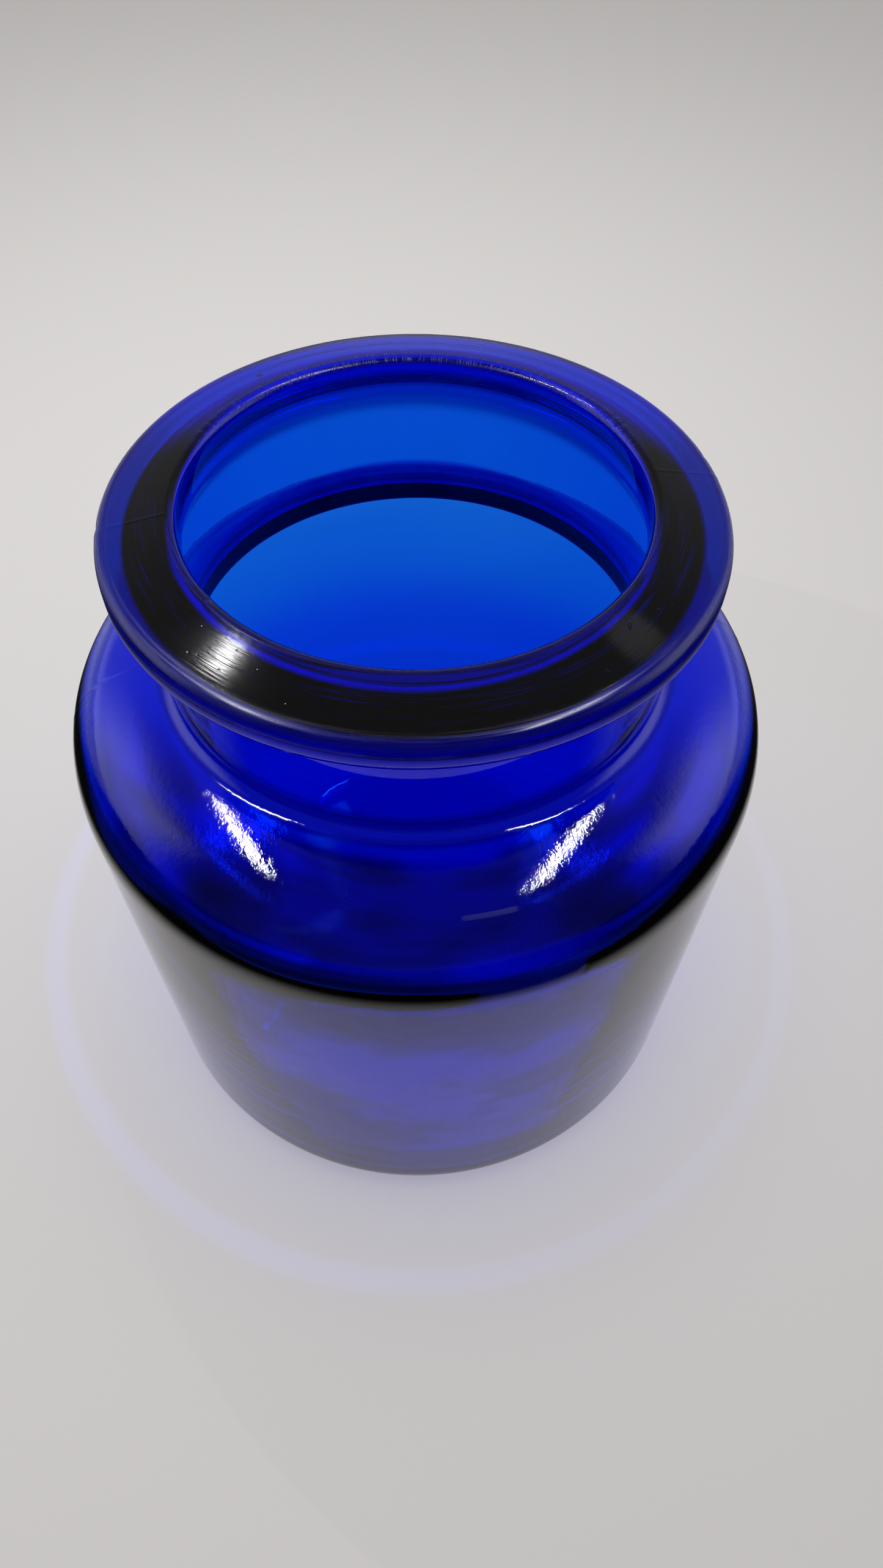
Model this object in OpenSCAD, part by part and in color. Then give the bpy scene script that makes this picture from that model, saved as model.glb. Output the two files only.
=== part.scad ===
// Wide-mouth round-shouldered jar in one piece of moulded cobalt glass.
// Origin: centre of the base, on the surface that the jar stands on. +Z runs up the axis.

/* [Overall] */
// Height from the standing surface to the crest of the mouth
height = 124; // [112:0.5:140]
// Outer diameter at the widest point of the shoulder
body_d = 108.4; // [104:0.2:116]
// Outer diameter of the lip
lip_d = 84; // [82:0.5:90]

/* [Lip] */
// Diameter of the throat, the narrowest opening, just inside the lip
throat_d = 62.2; // [58:0.2:63]
// Radius of the rounded crest around the mouth
crest_r = 1.3; // [1:0.1:1.5]
// Radius of the upper outer edge of the lip
lip_edge_r = 1.9; // [1.5:0.1:2]
// Radius of the lower outer edge of the lip
lip_under_r = 1.6; // [1.2:0.1:1.8]
// Thickness of the lip at its outer edge
lip_t = 5; // [4.5:0.1:5.4]
// How far the top of the lip falls from the crest to its outer edge
lip_fall = 1.5; // [1:0.1:2]
// How much higher the underside of the lip is where it meets the neck
underside_rise = 0.6; // [0:0.1:0.6]
// Height of the straight throat below the crest
throat_land = 3.2; // [2:0.1:4]

/* [Neck] */
// Bore of the neck
neck_bore_d = 66.4; // [65:0.1:67]
// Wall of the neck
neck_wall = 3.4; // [3:0.1:3.6]
// Radius of the hollow where the underside of the lip meets the neck
undercut_r = 1.6; // [1:0.1:2]
// Radius of the hollow where the neck meets the shoulder
neck_fillet_r = 2.6; // [2:0.1:4]

/* [Shoulder] */
// Height of the widest point
turn_z = 82; // [80:0.5:84]
// Outer radius of the turn from side to shoulder
turn_r = 15; // [14:0.2:15.6]
// Angle round the turn, up from level, at which the flatter dome of the shoulder takes over
turn_end = 64; // [60:1:68]
// Outer radius of the dome of the shoulder
dome_r = 26; // [23:0.5:30]

/* [Wall] */
// Wall at the top of the side
wall_top = 2.6; // [2.4:0.1:3]
// Wall at the foot of the side, where the glass is thicker
wall_foot = 4; // [3.4:0.1:5]
// Radius of the turn inside
inner_turn_r = 10; // [9.4:0.1:10.4]
// How much higher the turn inside is than the turn outside
inner_turn_rise = 1.4; // [1:0.1:1.8]
// Steepness of the shoulder inside, from the horizontal
inner_slope = 18; // [15:0.5:20]
// Radius of the rounded lower end of the neck's bore
bore_round_r = 1.8; // [1:0.1:3]

/* [Base] */
// How much narrower than the shoulder the side is where the heel starts, on each side
side_draft = 1.2; // [0:0.1:2]
// Outer radius of the heel
heel_r = 10; // [8:0.5:11]
// Radius of the heel inside
inner_heel_r = 7; // [4:0.5:9]
// Height of the floor inside, where it meets the heel
base_t = 6; // [5:0.2:8]
// How much the floor inside rises toward its middle
floor_rise = 1.4; // [0:0.1:2]
// Width of the flat ring that the jar stands on
foot_w = 5; // [3:0.5:8]
// Height of the hollow under the base
push_up = 2.4; // [1:0.2:3.6]

/* [Hidden] */

lip_r = lip_d / 2;
throat_r = throat_d / 2;
bore_r = neck_bore_d / 2;
neck_r = bore_r + neck_wall;
body_r = body_d / 2;

// Centres of the lip's rounded edges, as [radius, height].
crest_c = [throat_r + crest_r, height - crest_r];
lip_edge_c = [lip_r - lip_edge_r, height - lip_fall - lip_edge_r];
lip_under_c = [lip_r - lip_under_r, height - lip_fall - lip_t + lip_under_r];

// Angle of the line that touches two circles from outside, for centres a and b and radii ra and rb.
function touch_angle(a, ra, b, rb) =
    atan2(b[1] - a[1], b[0] - a[0]) + acos((ra - rb) / norm(b - a));
top_angle = touch_angle(crest_c, crest_r, lip_edge_c, lip_edge_r);

// The underside of the lip rises inward, so that it drains and lets go of the mould.
underside_z = height - lip_fall - lip_t;
underside_run = lip_under_c[0] - neck_r - undercut_r;
underside_angle = atan2(underside_rise, underside_run);
undercut_c = [neck_r + undercut_r, underside_z + underside_rise - undercut_r];

// The turn runs on into a flatter dome, which meets the neck in a small hollow.
turn_c = [body_r - turn_r, turn_z];
dome_c = turn_c - (dome_r - turn_r) * [cos(turn_end), sin(turn_end)];
fillet_x = neck_r + neck_fillet_r;
fillet_rise = sqrt(pow(dome_r + neck_fillet_r, 2) - pow(fillet_x - dome_c[0], 2));
fillet_c = [fillet_x, dome_c[1] + fillet_rise];
meet_angle = atan2(fillet_rise, fillet_x - dome_c[0]);

// The side leans inward from the turn down to the heel.
heel_c = [body_r - side_draft - heel_r, heel_r];
foot_out = heel_c[0];
foot_in = foot_out - foot_w;

// Inside, the wall thickens steadily from the turn down to the heel.
inner_turn_c = [body_r - wall_top - inner_turn_r, turn_z + inner_turn_rise];
inner_heel_c = [body_r - side_draft - wall_foot - inner_heel_r, base_t + inner_heel_r];
side_angle = touch_angle(inner_heel_c, inner_heel_r, inner_turn_c, inner_turn_r);
side_lean = 2 * atan2(inner_turn_c[1] - inner_heel_c[1], inner_turn_c[0] - inner_heel_c[0]) - side_angle;
steep = 90 - inner_slope;
inner_top = inner_turn_c + inner_turn_r * [cos(steep), sin(steep)];

// The neck's bore ends in a rounded corner that runs into the shoulder's inside.
bore_corner_z = inner_top[1] + (inner_top[0] - bore_r) * tan(inner_slope);
bore_foot_z = bore_corner_z + bore_round_r * tan(steep / 2);
bore_round_c = [bore_r + bore_round_r, bore_foot_z];

// Points of an arc about c, as [radius, height], from angle a to angle b.
function arc(c, r, a, b, steps = 12) =
    [for (i = [0:steps]) c + r * [cos(a + (b - a) * i / steps), sin(a + (b - a) * i / steps)]];

// Points of a shallow dome from the axis out to radius r, with the height z at r and rise more at the axis.
function dome(r, z, rise, steps = 10) =
    [for (i = [0:steps]) [r * i / steps, z + rise * pow(cos(90 * i / steps), 2)]];

// Below the straight throat the wall swells out to the neck's bore.
swell = bore_r - throat_r;
swell_h = 3 * swell;
swell_z = height - crest_r - throat_land;

outside = concat(
    dome(foot_in, 0, push_up),
    arc(heel_c, heel_r, -90, 0),
    arc(turn_c, turn_r, 0, turn_end),
    arc(dome_c, dome_r, turn_end, meet_angle, 8),
    arc(fillet_c, neck_fillet_r, 180 + meet_angle, 180, 8),
    arc(undercut_c, undercut_r, 180, 90, 8),
    arc(lip_under_c, lip_under_r, -90 - underside_angle, 0),
    arc(lip_edge_c, lip_edge_r, 0, top_angle),
    arc(crest_c, crest_r, top_angle, 90, 3),
    arc(crest_c, crest_r, 90, 180, 10)
);

inside = concat(
    [for (t = [0:0.125:1]) [throat_r + swell * (1 - cos(180 * t)) / 2, swell_z - swell_h * t]],
    arc(bore_round_c, bore_round_r, 180, 180 + steep, 8),
    arc(inner_turn_c, inner_turn_r, steep, side_lean),
    arc(inner_heel_c, inner_heel_r, side_lean, -90)
);

// The floor inside rises a little over the hollow underneath.
floor_line = [for (t = [1:-0.1:0]) [inner_heel_c[0] * t, base_t + floor_rise * pow(cos(90 * t), 2)]];

module jar() {
    color([0.02, 0.08, 0.75, 0.8])
        rotate_extrude($fn = 180)
            polygon(concat(outside, inside, floor_line));
}

jar();
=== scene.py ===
"""Cobalt blue glass jar with a flared lip: the looks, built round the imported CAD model."""
import math

import bpy
import numpy as np
from mathutils import Matrix, Vector


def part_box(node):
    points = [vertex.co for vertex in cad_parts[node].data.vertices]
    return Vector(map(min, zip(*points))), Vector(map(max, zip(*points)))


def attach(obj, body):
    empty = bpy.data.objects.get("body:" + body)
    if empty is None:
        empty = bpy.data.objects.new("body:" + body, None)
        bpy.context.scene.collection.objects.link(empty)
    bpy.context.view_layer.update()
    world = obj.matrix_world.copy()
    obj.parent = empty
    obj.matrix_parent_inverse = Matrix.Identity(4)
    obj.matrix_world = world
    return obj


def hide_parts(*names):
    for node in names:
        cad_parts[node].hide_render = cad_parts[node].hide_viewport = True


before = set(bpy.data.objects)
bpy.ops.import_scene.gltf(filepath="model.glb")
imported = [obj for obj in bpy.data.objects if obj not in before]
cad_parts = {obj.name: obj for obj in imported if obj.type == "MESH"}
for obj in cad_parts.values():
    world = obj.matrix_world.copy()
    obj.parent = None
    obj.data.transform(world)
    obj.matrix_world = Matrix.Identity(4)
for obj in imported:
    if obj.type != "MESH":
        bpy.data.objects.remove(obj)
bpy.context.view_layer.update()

MM = 0.001
box_low, box_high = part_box("jar")
HEIGHT = box_high[2] / MM
BODY_R = box_high[0] / MM

# ---------------------------------------------------------------- profile, mm
LIP_R = 42.0
THROAT_R = 31.1
CREST_R = 1.3
LIP_EDGE_R = 1.9
LIP_UNDER_R = 1.6
LIP_THICK = 5.0
LIP_FALL = 1.5
UNDERSIDE_RISE = 0.6
THROAT_LAND = 3.2
NECK_BORE_R = 33.2
NECK_WALL = 3.4
UNDERCUT_R = 1.6
NECK_FILLET_R = 2.6
TURN_Z = 82.0
TURN_R = 15.0
TURN_END = 64.0
DOME_R = 26.0
INNER_TURN_R = 10.0
INNER_TURN_RISE = 1.4
INNER_SLOPE = 18.0
BORE_ROUND_R = 1.8
WALL_TOP = 2.6
WALL_FOOT = 4.0
SIDE_DRAFT = 1.2
HEEL_R = 10.0
INNER_HEEL_R = 7.0
BASE_THICK = 6.0
FLOOR_RISE = 1.4
FOOT_W = 5.0
PUSH_UP = 2.4

# ---------------------------------------------------------------- uneven glass, mm and degrees
ANGLE_STEPS = 252
# Where a seam or a nick lies, the columns of the mesh stand this many degrees from its middle.
FINE_OFFSETS = (-1.1, -0.7, -0.45, -0.25, -0.1, 0.0, 0.1, 0.25, 0.45, 0.7, 1.1)
OUTER_WAVE = 0.035
INNER_WAVE = 0.16
SHOULDER_WAVE = 0.30
# The waves inside are drawn out along the jar's height.
TALL = np.array((1.0, 1.0, 0.45))
SEAM_ANGLES = (9.5, 189.5)
SEAM_HEIGHT = 0.03
SEAM_WIDTH = 0.22
# Each nick: angle, radius, height, depth and width.
NICKS = (
    (187.0, 41.9, 121.3, 0.18, 0.7),
    (16.0, 41.8, 121.6, 0.14, 0.6),
    (221.0, 32.0, 123.9, 0.08, 0.5),
    (296.0, 54.1, 84.5, 0.06, 0.7),
)


def arc(centre, radius, start, end, steps):
    """Points on an arc, from one angle to the other in degrees."""
    angles = np.radians(np.linspace(start, end, steps + 1))
    return [(centre[0] + radius * math.cos(a), centre[1] + radius * math.sin(a)) for a in angles]


def line(p, q, steps):
    """Points along a straight run, both ends left out."""
    return [(p[0] + (q[0] - p[0]) * i / steps, p[1] + (q[1] - p[1]) * i / steps) for i in range(1, steps)]


def join(*runs, gap=2.2):
    """Puts the runs one after another, with extra points along the straight gaps between them."""
    points = []
    for run in runs:
        if points:
            steps = max(1, int(math.dist(points[-1], run[0]) / gap))
            points += line(points[-1], run[0], steps)
            if math.dist(points[-1], run[0]) < 1e-6:
                run = run[1:]
        points += run
    return points


def jar_profile():
    """The jar's section, from the middle of its underside out, up, over the lip and down inside."""
    crest = (THROAT_R + CREST_R, HEIGHT - CREST_R)
    edge = (LIP_R - LIP_EDGE_R, HEIGHT - LIP_FALL - LIP_EDGE_R)
    under_z = HEIGHT - LIP_FALL - LIP_THICK
    under = (LIP_R - LIP_UNDER_R, under_z + LIP_UNDER_R)
    neck_r = NECK_BORE_R + NECK_WALL
    reach = math.dist(edge, crest)
    top_angle = math.degrees(math.atan2(edge[1] - crest[1], edge[0] - crest[0])) + math.degrees(
        math.acos((CREST_R - LIP_EDGE_R) / reach))
    under_angle = math.degrees(math.atan2(UNDERSIDE_RISE, under[0] - neck_r - UNDERCUT_R))
    undercut = (neck_r + UNDERCUT_R, under_z + UNDERSIDE_RISE - UNDERCUT_R)
    turn = (BODY_R - TURN_R, TURN_Z)
    end = math.radians(TURN_END)
    dome_c = (turn[0] - (DOME_R - TURN_R) * math.cos(end), turn[1] - (DOME_R - TURN_R) * math.sin(end))
    fillet_x = neck_r + NECK_FILLET_R
    fillet = (fillet_x, dome_c[1] + math.sqrt((DOME_R + NECK_FILLET_R) ** 2 - (fillet_x - dome_c[0]) ** 2))
    meet = math.degrees(math.atan2(fillet[1] - dome_c[1], fillet[0] - dome_c[0]))
    heel = (BODY_R - SIDE_DRAFT - HEEL_R, HEEL_R)
    foot_in = heel[0] - FOOT_W
    hollow = [(foot_in * t, PUSH_UP * math.cos(math.pi / 2 * t) ** 2) for t in np.linspace(0, 1, 19)]

    inner_turn = (BODY_R - WALL_TOP - INNER_TURN_R, TURN_Z + INNER_TURN_RISE)
    steep = 90 - INNER_SLOPE
    inner_top = (inner_turn[0] + INNER_TURN_R * math.cos(math.radians(steep)),
                 inner_turn[1] + INNER_TURN_R * math.sin(math.radians(steep)))
    corner_z = inner_top[1] + (inner_top[0] - NECK_BORE_R) * math.tan(math.radians(INNER_SLOPE))
    bore_round = (NECK_BORE_R + BORE_ROUND_R, corner_z + BORE_ROUND_R * math.tan(math.radians(steep / 2)))
    inner_heel = (BODY_R - SIDE_DRAFT - WALL_FOOT - INNER_HEEL_R, BASE_THICK + INNER_HEEL_R)
    rise = math.degrees(math.atan2(inner_turn[1] - inner_heel[1], inner_turn[0] - inner_heel[0]))
    side = rise - math.degrees(math.acos((INNER_HEEL_R - INNER_TURN_R) / math.dist(inner_turn, inner_heel)))
    swell = NECK_BORE_R - THROAT_R
    swell_z = HEIGHT - CREST_R - THROAT_LAND
    throat = [(THROAT_R + swell * (1 - math.cos(math.pi * t)) / 2, swell_z - 3 * swell * t)
              for t in np.linspace(0, 1, 15)]
    well = [(inner_heel[0] * t, BASE_THICK + FLOOR_RISE * math.cos(math.pi / 2 * t) ** 2)
            for t in np.linspace(1, 0, 19)]
    return join(
        hollow,
        arc(heel, HEEL_R, -90, 0, 22),
        arc(turn, TURN_R, 0, TURN_END, 22),
        arc(dome_c, DOME_R, TURN_END, meet, 10),
        arc(fillet, NECK_FILLET_R, 180 + meet, 180, 14),
        arc(undercut, UNDERCUT_R, 180, 90, 10),
        arc(under, LIP_UNDER_R, -90 - under_angle, 0, 12),
        arc(edge, LIP_EDGE_R, 0, top_angle, 12),
        arc(crest, CREST_R, top_angle, 180, 12),
        throat,
        arc(bore_round, BORE_ROUND_R, 180, 180 + steep, 12),
        arc(inner_turn, INNER_TURN_R, steep, side, 22),
        arc(inner_heel, INNER_HEEL_R, side, -90, 20),
        well,
    )


def column_angles():
    """Even steps round the jar, with closer ones over the seams and the nicks."""
    angles = set(np.round(np.arange(ANGLE_STEPS) * 360 / ANGLE_STEPS, 3))
    for middle in [*SEAM_ANGLES, *[nick[0] for nick in NICKS]]:
        near = {a for a in angles if abs((a - middle + 180) % 360 - 180) < 1.3}
        angles -= near
        angles |= {round((middle + offset) % 360, 3) for offset in FINE_OFFSETS}
    return np.radians(np.array(sorted(angles)))


def waves(points, length, seed):
    """Smooth uneven swells about -1 to 1, with humps about one length apart."""
    draw = np.random.default_rng(seed)
    total = np.zeros(points.shape[:-1])
    for _ in range(9):
        way = draw.normal(size=3)
        way *= 2 * math.pi / (length * draw.uniform(0.8, 1.6) * np.linalg.norm(way))
        total += np.sin(points @ way + draw.uniform(0, 2 * math.pi))
    return total / 3.2


def ramp(value, zero_at, one_at):
    """0 up to zero_at and 1 from one_at on, straight between; either may be the larger."""
    return np.clip((value - zero_at) / (one_at - zero_at), 0, 1)


def uneven(points, rows, turns):
    """How far the real glass stands off the drawn shape, outward of the glass, in millimetres."""
    rings = len(rows)
    top = int(np.argmax(rows[:, 1]))
    inside = (np.arange(rings) > top)[:, None]
    height, radius = rows[:, 1:2], rows[:, :1]
    off = np.where(inside, INNER_WAVE * waves(points * TALL, 40, 3), OUTER_WAVE * waves(points, 45, 5))
    off *= ramp(height, 1.5, 9.5)
    under_shoulder = ramp(height, 80, 84) * ramp(height, 94, 91)
    off += np.where(inside, under_shoulder * SHOULDER_WAVE * waves(points, 24, 11), 0.0)
    off *= np.where(inside, np.maximum(ramp(height, 94, 89), 0.08), ramp(height, 110, 102))
    degrees = np.degrees(turns)[None, :]
    for middle in SEAM_ANGLES:
        ridge = SEAM_HEIGHT * np.exp(-((arc_away(degrees, middle, radius) / SEAM_WIDTH) ** 2))
        off += np.where(inside | (height < 2), 0, ridge)
    for middle, nick_r, nick_z, depth, width in NICKS:
        spread = arc_away(degrees, middle, radius) ** 2 + (radius - nick_r) ** 2 + (height - nick_z) ** 2
        off -= depth * np.exp(-spread / width**2)
    return off


def arc_away(degrees, middle, radius):
    """Distance round the jar from an angle, in millimetres."""
    return ((degrees - middle + 180) % 360 - 180) * np.radians(1) * radius


def lathe(name, profile):
    """Turns the profile about Z into one closed mesh, with a single point at each pole."""
    rows = np.array(profile[1:-1])
    turns = column_angles()
    count, rings = len(turns), len(rows)
    steps = np.diff(np.array(profile), axis=0)
    steps /= np.linalg.norm(steps, axis=1)[:, None]
    tangent = steps[1:] + steps[:-1]
    normal = np.stack([tangent[:, 1], -tangent[:, 0]], axis=1)
    normal /= np.linalg.norm(normal, axis=1)[:, None]
    around = np.stack([np.cos(turns), np.sin(turns)], axis=1)
    points = np.zeros((rings, count, 3))
    points[:, :, :2] = rows[:, :1, None] * around
    points[:, :, 2] = rows[:, 1:]
    off = uneven(points, rows, turns)
    points[:, :, :2] += (off * normal[:, :1])[:, :, None] * around
    points[:, :, 2] += off * normal[:, 1:]
    verts = (points.reshape(-1, 3) * MM).tolist()
    verts += [(0, 0, profile[0][1] * MM), (0, 0, profile[-1][1] * MM)]
    low, high = rings * count, rings * count + 1
    last = (rings - 1) * count
    pairs = [(j, (j + 1) % count) for j in range(count)]
    faces = [(i * count + j, i * count + k, (i + 1) * count + k, (i + 1) * count + j)
             for i in range(rings - 1) for j, k in pairs]
    for j, k in pairs:
        faces.append((low, k, j))
        faces.append((high, last + j, last + k))
    mesh = bpy.data.meshes.new(name)
    mesh.from_pydata(verts, [], faces)
    mesh.validate()
    mesh.shade_smooth()
    piece = bpy.data.objects.new(name, mesh)
    bpy.context.scene.collection.objects.link(piece)
    return piece


# ---------------------------------------------------------------- node graphs
class Graph:
    """Short ways to add nodes to one node tree."""

    def __init__(self, tree):
        self.tree = tree

    def add(self, kind, *values, **settings):
        """A node with its settings, and its first inputs linked or set."""
        made = self.tree.nodes.new(kind)
        for key, value in settings.items():
            setattr(made, key, value)
        for index, value in enumerate(values):
            self.put(value, made.inputs[index])
        return made

    def put(self, value, socket):
        if isinstance(value, bpy.types.NodeSocket):
            self.tree.links.new(value, socket)
        elif value is not None:
            socket.default_value = value

    def calc(self, operation, *values):
        return self.add("ShaderNodeMath", *values, operation=operation).outputs[0]

    def times(self, *values):
        total = values[0]
        for value in values[1:]:
            total = self.calc("MULTIPLY", total, value)
        return total

    def plus(self, *values):
        total = values[0]
        for value in values[1:]:
            total = self.calc("ADD", total, value)
        return total

    def squares(self, *parts):
        return self.plus(*[self.times(part, part) for part in parts])

    def length(self, *parts):
        return self.calc("SQRT", self.squares(*parts))

    def ease(self, value, low, high, start=0.0, end=1.0):
        """Changes smoothly from start to end while the value goes from low to high."""
        made = self.add("ShaderNodeMapRange", value, low, high, start, end, interpolation_type="SMOOTHSTEP")
        return made.outputs[0]

    def band(self, value, low, high, soft):
        """1 between low and high, falling to 0 over soft on either side."""
        return self.times(self.ease(value, low - soft, low), self.ease(value, high, high + soft, 1.0, 0.0))

    def spot(self, x, y, place, far, close=0.0):
        """1 within close of a point seen from above, falling to 0 at far."""
        away = self.squares(self.plus(x, -place[0]), self.plus(y, -place[1]))
        return self.ease(away, far**2, close**2)

    def keep(self, mask, share):
        """Lets all the light through where the mask is 0, and only this share where it is 1."""
        return self.ease(mask, 0.0, 1.0, 1.0, share)

    def vector(self, x, y, z):
        return self.add("ShaderNodeCombineXYZ", x, y, z).outputs[0]

    def noise(self, vector, scale, detail=2.0, rough=0.5):
        made = self.add("ShaderNodeTexNoise", vector)
        made.inputs["Scale"].default_value = scale
        made.inputs["Detail"].default_value = detail
        made.inputs["Roughness"].default_value = rough
        return made.outputs[0]


# ---------------------------------------------------------------- materials, in metres
GLASS_IOR = 1.52
ABSORB_COLOUR = (0.035, 0.655, 0.991, 1)
ABSORB_DENSITY = 1700.0
SPECK = (-0.0236, 0.0272)
# Two painted dark spots on the front of the shoulder, and their size.
SHADE_SPOTS = ((-0.0225, -0.0420), (0.0240, -0.0415))
SHADE_SPOT_R = 0.009
PAPER = (0.76, 0.745, 0.735, 1)
# The painted blue of the glass's light on the paper, and the centre of its painted caustic circle.
PAINTED_GLASS_BLUE = (0.80, 0.78, 1.0, 1)
CAUSTIC_RING_Y = 0.0125


def new_material(name):
    """A material, the graph of its nodes, and its shader."""
    mat = bpy.data.materials.new(name)
    mat.use_nodes = True
    return mat, Graph(mat.node_tree), mat.node_tree.nodes["Principled BSDF"]


def cobalt_glass():
    """Deep blue glass: light is lost inside it, its skin is ripply and worn around the mouth, and its colour
    carries painted shade.
    """
    mat, g, shader = new_material("cobalt_glass")
    place = g.add("ShaderNodeTexCoord").outputs["Object"]
    x, y, z = g.add("ShaderNodeSeparateXYZ", place).outputs
    radius = g.length(x, y)
    angle = g.calc("ARCTAN2", y, x)
    turn_x, turn_y = g.calc("COSINE", angle), g.calc("SINE", angle)

    # Regions of the jar.
    on_top = g.ease(z, 0.1203, 0.1212)
    lip_top = g.times(on_top, g.ease(radius, 0.0317, 0.0326))
    crest = g.times(g.ease(z, 0.1228, 0.1236), g.ease(radius, 0.0338, 0.0328))
    neck_inside = g.times(g.band(z, 0.098, 0.117, 0.004), g.ease(radius, 0.0345, 0.0336))
    shoulder = g.times(g.band(z, 0.088, 0.103, 0.003), g.ease(radius, 0.0366, 0.0370))
    foot = g.ease(z, 0.0012, 0.0003)
    behind = g.ease(y, 0.004, 0.018)
    to_front = g.ease(y, 0.027, 0.006)
    near = g.ease(y, 0.0, -0.02)

    # Circular brush marks on the lip: fine across, long around.
    around = g.vector(g.times(turn_x, 1.3), g.times(turn_y, 1.3), g.times(radius, 1500.0))
    brush = g.noise(around, 2.2, 3.0, 0.65)
    # Short hairlines across the crest at the back: fine around, long across.
    across = g.vector(g.times(turn_x, 90.0), g.times(turn_y, 90.0), g.times(radius, 60.0))
    hairs = g.ease(g.noise(across, 2.0, 2.0, 0.6), 0.52, 0.72)
    patchy = g.noise(place, 60.0, 2.0)
    grain = g.noise(place, 850.0, 3.0, 0.7)
    peel = g.noise(place, 170.0, 2.0)
    ripple = g.noise(place, 55.0, 1.0)
    pits = g.ease(g.noise(place, 900.0, 1.0), 0.70, 0.78)
    scratch = g.times(g.band(radius, 0.04735, 0.04765, 0.0003), g.band(angle, -1.41, -1.285, 0.03),
                      g.ease(z, 0.085, 0.09))
    # The lip's two rounded edges are worn.
    worn = g.calc("MAXIMUM", g.times(g.ease(z, 0.1200, 0.1206), g.ease(radius, 0.0396, 0.0402)),
                  g.times(g.ease(z, 0.1230, 0.1234), g.ease(radius, 0.0329, 0.0324)))
    rough = g.plus(
        0.012,
        g.times(scratch, 0.45),
        g.times(lip_top, g.ease(patchy, 0.3, 0.7, 0.04, 0.10)),
        g.times(crest, behind, hairs, 0.3),
        g.times(worn, g.ease(brush, 0.35, 0.65, 0.06, 0.26)),
        g.times(shoulder, g.ease(patchy, 0.35, 0.65, 0.0, 0.035)),
        g.times(foot, 0.35),
    )
    height = g.plus(
        g.times(ripple, g.plus(0.00003, g.times(shoulder, 0.00003))),
        g.times(peel, neck_inside, 0.00004),
        g.times(grain, shoulder, 0.000027),
        g.times(brush, lip_top, 0.000012),
        g.times(hairs, crest, behind, -0.00002),
        g.times(pits, lip_top, -0.00001),
    )

    # Painted shade and painted dark reflections in the glass's colour, most of them darker at the front: a
    # black band on the lip's top, the lip's edge, the turn, the hollow at the neck's foot, the lower end of the
    # bore, and the heel.
    # Painted dark band on the lip's top, moved outward at the front and fading towards the back.
    shifted_radius = g.plus(radius, g.times(turn_y, 0.0034))
    lip_top_painted_dark = g.times(on_top, g.ease(radius, 0.0313, 0.0317), g.band(shifted_radius, 0.0318, 0.0369, 0.0010),
                        to_front, g.ease(brush, 0.50, 0.75, 1.0, 0.86))
    # Painted shade on the lip's outer edge, darker at the front.
    lip_edge_painted_shade = g.times(g.ease(z, 0.1165, 0.1175), g.ease(radius, 0.0366, 0.0374),
                       g.plus(g.times(to_front, 0.8), 0.2))
    # Painted dark reflection in a band round the turn, darker at the front.
    turn_painted_dark = g.times(g.band(z, 0.0842, 0.0866, 0.0022), g.ease(radius, 0.0505, 0.0515),
                        g.plus(g.times(near, 0.7), 0.3))
    # Painted shade in the hollow at the neck's foot.
    fillet_painted_shade = g.times(g.band(z, 0.0979, 0.1005, 0.0006), g.ease(radius, 0.0362, 0.0364),
                          g.ease(radius, 0.0395, 0.0385))
    # Painted shade at the lower end of the bore, its top edge sloping with y.
    slant = g.times(y, 0.075)
    bore_foot_painted_shade = g.times(g.ease(z, g.plus(0.1030, slant), g.plus(0.1015, slant)),
                        g.ease(z, 0.0955, 0.0965), g.ease(radius, 0.0350, 0.0345))
    # Painted shade round the heel, at the front only.
    heel = g.times(g.band(z, 0.0060, 0.0222, 0.0030), g.ease(radius, 0.0515, 0.0525), near)
    speck = g.spot(x, y, SPECK, 0.0007, 0.0003)
    # Noise for painted shade: drawn out round the shoulder, and level on the side.
    shoulder_shade_noise = g.noise(g.vector(g.times(turn_x, 1.2), g.times(turn_y, 1.2), g.times(radius, 120.0)), 2.1, 1.0)
    side_shade_noise = g.noise(g.vector(x, y, g.times(z, 1.5)), 46.0, 2.0)
    # Painted shade on the front of the shoulder: blotches, two dark spots and a dark strip.
    front_shoulder_shade_zone = g.times(g.band(z, 0.0885, 0.0972, 0.0008), g.ease(radius, 0.0385, 0.0395),
                   g.ease(y, -0.008, -0.034))
    painted_shade_spots = g.times(front_shoulder_shade_zone, g.plus(*[g.spot(x, y, shade_spot, SHADE_SPOT_R) for shade_spot in SHADE_SPOTS]))
    # Painted shade on the front of the side below the turn: blotches, and darker towards the turn.
    side = g.times(g.ease(z, 0.083, 0.080), g.ease(radius, 0.0505, 0.0515), near)
    # The glass's colour: the real brown speck, and all the painted shade above.
    speck_and_painted_shade = g.times(
        g.keep(lip_top_painted_dark, 0.0),
        g.keep(lip_edge_painted_shade, 0.45),
        g.keep(turn_painted_dark, 0.06),
        g.keep(fillet_painted_shade, 0.4),
        g.keep(heel, 0.25),
        g.keep(bore_foot_painted_shade, 0.5),
        g.keep(painted_shade_spots, 0.5),
        g.keep(g.times(speck, lip_top), 0.1),
        g.plus(1.0, g.times(front_shoulder_shade_zone, g.ease(shoulder_shade_noise, 0.40, 0.60, -0.65, 0.0))),
        g.plus(1.0, g.times(front_shoulder_shade_zone, g.band(y, -0.0480, -0.0420, 0.0030), -0.5)),
        g.plus(1.0, g.times(side, g.ease(side_shade_noise, 0.38, 0.60, -0.68, -0.12))),
        g.plus(1.0, g.times(side, g.ease(z, 0.064, 0.074, 0.0, -0.3))),
    )
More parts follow.
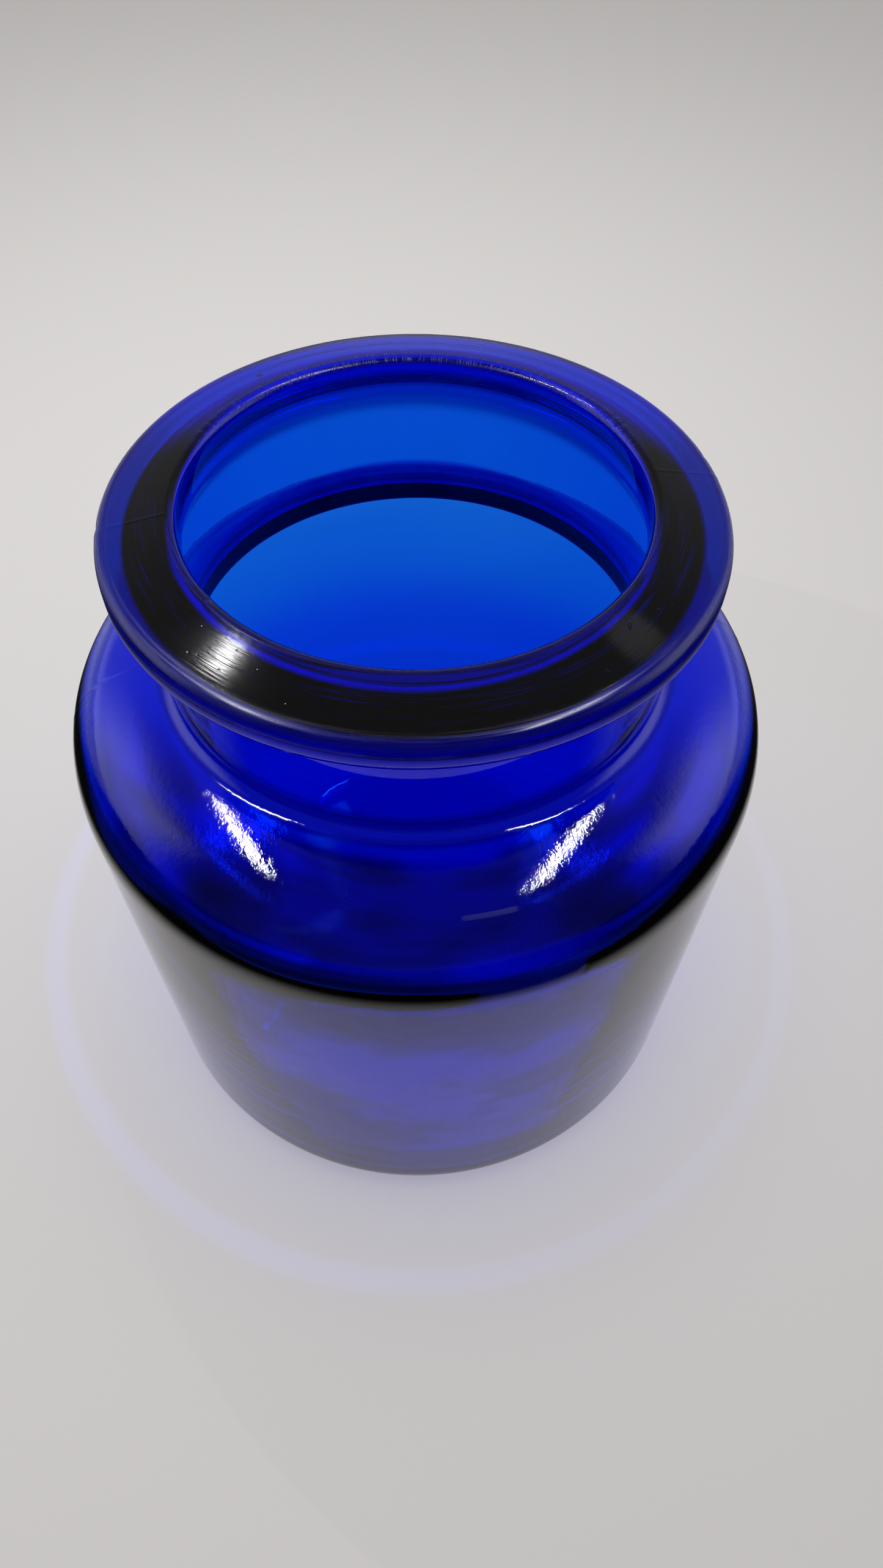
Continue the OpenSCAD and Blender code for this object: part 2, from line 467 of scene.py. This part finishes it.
    # Less green also gets through the thick foot of the side; the painted shade at the bore's lower end and on
    # the front of the shoulder takes out green too.
    thick_foot = g.times(g.ease(z, 0.077, 0.050), g.ease(radius, 0.0525, 0.0515), g.ease(z, 0.004, 0.006))
    greens = g.times(speck_and_painted_shade, g.ease(thick_foot, 0.0, 1.0, 0.94, 0.3), g.keep(bore_foot_painted_shade, 0.1), g.keep(front_shoulder_shade_zone, 0.35))
    tint = g.add("ShaderNodeCombineColor", g.times(speck_and_painted_shade, 0.9), greens, speck_and_painted_shade)

    g.put(tint.outputs[0], shader.inputs["Base Color"])
    shader.inputs["Transmission Weight"].default_value = 1.0
    shader.inputs["IOR"].default_value = GLASS_IOR
    g.put(rough, shader.inputs["Roughness"])
    bump = g.add("ShaderNodeBump")
    bump.inputs["Distance"].default_value = 1.0
    g.put(height, bump.inputs["Height"])
    g.put(bump.outputs[0], shader.inputs["Normal"])
    absorb = g.add("ShaderNodeVolumeAbsorption")
    absorb.inputs["Color"].default_value = ABSORB_COLOUR
    absorb.inputs["Density"].default_value = ABSORB_DENSITY
    g.put(absorb.outputs[0], mat.node_tree.nodes["Material Output"].inputs["Volume"])
    return mat


def paper_floor():
    """Plain pale paper, with a painted blue glow close round the jar and a painted caustic circle, where the
    glass's light would fall.
    """
    mat, g, shader = new_material("pale_paper")
    x, y, _ = g.add("ShaderNodeSeparateXYZ", g.add("ShaderNodeTexCoord").outputs["Object"]).outputs
    # Painted blue light round the jar.
    painted_blue_glow = g.ease(g.length(x, y), 0.052, 0.085, 1.0, 0.0)
    # A painted caustic circle, stronger on the left.
    ring_r = g.length(x, g.plus(y, -CAUSTIC_RING_Y))
    painted_caustic_ring = g.times(g.band(ring_r, 0.0815, 0.0830, 0.0030), g.ease(x, 0.06, -0.03, 0.45, 1.0))
    tint = g.add("ShaderNodeMix", g.plus(g.times(painted_blue_glow, 0.35), g.times(painted_caustic_ring, 0.4)),
                 data_type="RGBA", clamp_factor=True)
    tint.inputs[6].default_value = PAPER
    tint.inputs[7].default_value = PAINTED_GLASS_BLUE
    g.put(tint.outputs[2], shader.inputs["Base Color"])
    shader.inputs["Roughness"].default_value = 0.7
    shader.inputs["Specular IOR Level"].default_value = 0.2
    return mat


def dark_room():
    """Black away from the jar, and nothing close round it or far behind it."""
    mat, g, _ = new_material("dark_room")
    x, y, _ = g.add("ShaderNodeSeparateXYZ", g.add("ShaderNodeTexCoord").outputs["Object"]).outputs
    cut = g.times(g.ease(g.length(x, y), 0.104, 0.150), g.ease(y, 0.26, 0.08))
    dark = g.add("ShaderNodeBsdfDiffuse", (0.01, 0.01, 0.01, 1)).outputs[0]
    masked = g.add("ShaderNodeMixShader", cut, g.add("ShaderNodeBsdfTransparent").outputs[0], dark)
    g.put(masked.outputs[0], mat.node_tree.nodes["Material Output"].inputs["Surface"])
    return mat


def stage_disc(name, radius, z, material):
    """A flat disc that belongs to the stage, not to the jar."""
    edge = np.radians(np.arange(0, 360, 3.75))
    mesh = bpy.data.meshes.new(name)
    mesh.from_pydata([(radius * math.cos(a), radius * math.sin(a), 0) for a in edge], [],
                     [tuple(range(len(edge)))])
    mesh.materials.append(material)
    disc = bpy.data.objects.new(name, mesh)
    disc.location.z = z
    bpy.context.scene.collection.objects.link(disc)
    return disc


# ---------------------------------------------------------------- the jar
jar = lathe("glass_jar", jar_profile())
jar.data.materials.append(cobalt_glass())
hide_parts("jar")
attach(jar, "root")

# ---------------------------------------------------------------- floor
stage_disc("floor", 20, -0.0002, paper_floor())

# The unlit room in front and at the sides, seen only in the jar's reflections.
surround = stage_disc("dark_surround", 15, 0.001, dark_room())
surround.visible_camera = False
surround.visible_shadow = False
surround.visible_diffuse = False
surround.visible_transmission = False

# ---------------------------------------------------------------- camera
PITCH = 52.95
ROLL = 0.93
SENSOR_MM = 36
LENS_MM = 24.40203
STANDS_AT = (0.00409, -0.1145, 0.2121)
camera = bpy.data.objects.new("camera", bpy.data.cameras.new("camera"))
bpy.context.scene.collection.objects.link(camera)
camera.data.sensor_fit = "VERTICAL"
camera.data.sensor_height = SENSOR_MM
camera.data.lens = LENS_MM
camera.data.clip_start = 0.005
camera.matrix_world = (Matrix.Translation(STANDS_AT)
                       @ Matrix.Rotation(math.radians(90 - PITCH), 4, "X")
                       @ Matrix.Rotation(math.radians(ROLL), 4, "Z"))
bpy.context.scene.camera = camera

# ---------------------------------------------------------------- light
LAMP_Z = 0.40
LAMPS_FACE = Vector((0, 0, 0.08))


def strip(name, start, end, width, power):
    """A thin oval lamp from one point to another, both at LAMP_Z, seen in the jar's reflections only."""
    start, end = Vector((*start, LAMP_Z)), Vector((*end, LAMP_Z))
    lamp = bpy.data.objects.new(name, bpy.data.lights.new(name, "AREA"))
    lamp.data.shape = "ELLIPSE"
    lamp.data.size = (end - start).length
    lamp.data.size_y = width
    lamp.data.energy = power
    along = (end - start).normalized()
    back = ((start + end) / 2 - LAMPS_FACE).normalized()
    back = (back - along * back.dot(along)).normalized()
    lamp.matrix_world = Matrix((along, back.cross(along), back)).transposed().to_4x4()
    lamp.location = (start + end) / 2
    lamp.visible_camera = False
    lamp.visible_diffuse = False
    bpy.context.scene.collection.objects.link(lamp)


strip("lamp_left", (-0.189, -0.124), (-0.191, 0.072), 0.021, 0.42)
strip("lamp_right", (0.150, -0.160), (0.152, 0.070), 0.018, 0.39)
strip("lamp_spot", (-0.154, 0.117), (-0.136, 0.124), 0.018, 0.048)
strip("lamp_dim", (0.145, 0.138), (0.180, 0.174), 0.050, 0.0020)

# Lights the paper only, brighter behind the jar.
softbox = bpy.data.objects.new("softbox", bpy.data.lights.new("softbox", "AREA"))
softbox.data.size = 0.3
softbox.data.energy = 1.4
softbox.data.use_shadow = False
softbox.location = (-0.06, 0.16, 0.50)
softbox.visible_camera = False
softbox.visible_glossy = False
softbox.visible_transmission = False
bpy.context.scene.collection.objects.link(softbox)

world = bpy.data.worlds.new("studio")
world.use_nodes = True
bpy.context.scene.world = world
g = Graph(world.node_tree)
_, along_y, up = g.add("ShaderNodeSeparateXYZ", g.add("ShaderNodeTexCoord").outputs["Generated"]).outputs
level = g.calc("SQRT", g.calc("SUBTRACT", 1.0001, g.times(up, up)))
ahead = g.calc("DIVIDE", along_y, level)
# What the jar reflects: pale walls at its sides, and a paler wall behind it.
wall_glow = g.times(g.band(ahead, 0.0, 0.3, 0.35), g.ease(up, -0.35, 0.38),
                    g.ease(up, 0.5, 0.76, 1.0, 0.0), 1.1)
rear_glow = g.times(g.ease(ahead, -0.1, 0.6),
                    g.plus(g.ease(up, 0.05, 0.2, 0.4, 0.0), g.ease(up, 0.4, 0.8, 0.2, 0.1)))
seen = world.node_tree.nodes["Background"]
seen.inputs["Color"].default_value = (1.0, 0.98, 0.97, 1)
g.put(g.plus(wall_glow, rear_glow, 0.04), seen.inputs["Strength"])
# What lights the paper: mostly a soft ceiling.
soft = g.add("ShaderNodeBackground", (0.97, 0.95, 0.94, 1), g.ease(up, 0.86, 0.94, 0.2, 1.38))
# What is behind the jar, seen directly or straight through the glass.
backdrop = g.add("ShaderNodeBackground", (0.335, 0.322, 0.317, 1), 1.0)
path = g.add("ShaderNodeLightPath").outputs
off_paper = g.calc("GREATER_THAN", path["Diffuse Depth"], 0.5)
straight = g.times(path["Is Transmission Ray"], g.calc("LESS_THAN", path["Glossy Depth"], 0.5),
                   g.calc("SUBTRACT", 1.0, off_paper))
in_view = g.calc("MAXIMUM", path["Is Camera Ray"], straight)
lit = g.add("ShaderNodeMixShader", off_paper, seen.outputs[0], soft.outputs[0])
sky = g.add("ShaderNodeMixShader", in_view, lit.outputs[0], backdrop.outputs[0])
g.put(sky.outputs[0], world.node_tree.nodes["World Output"].inputs["Surface"])

scene = bpy.context.scene
scene.view_settings.view_transform = "Standard"
scene.cycles.use_denoising = True
scene.cycles.max_bounces = 28
scene.cycles.transmission_bounces = 28
scene.cycles.glossy_bounces = 12
scene.cycles.diffuse_bounces = 3
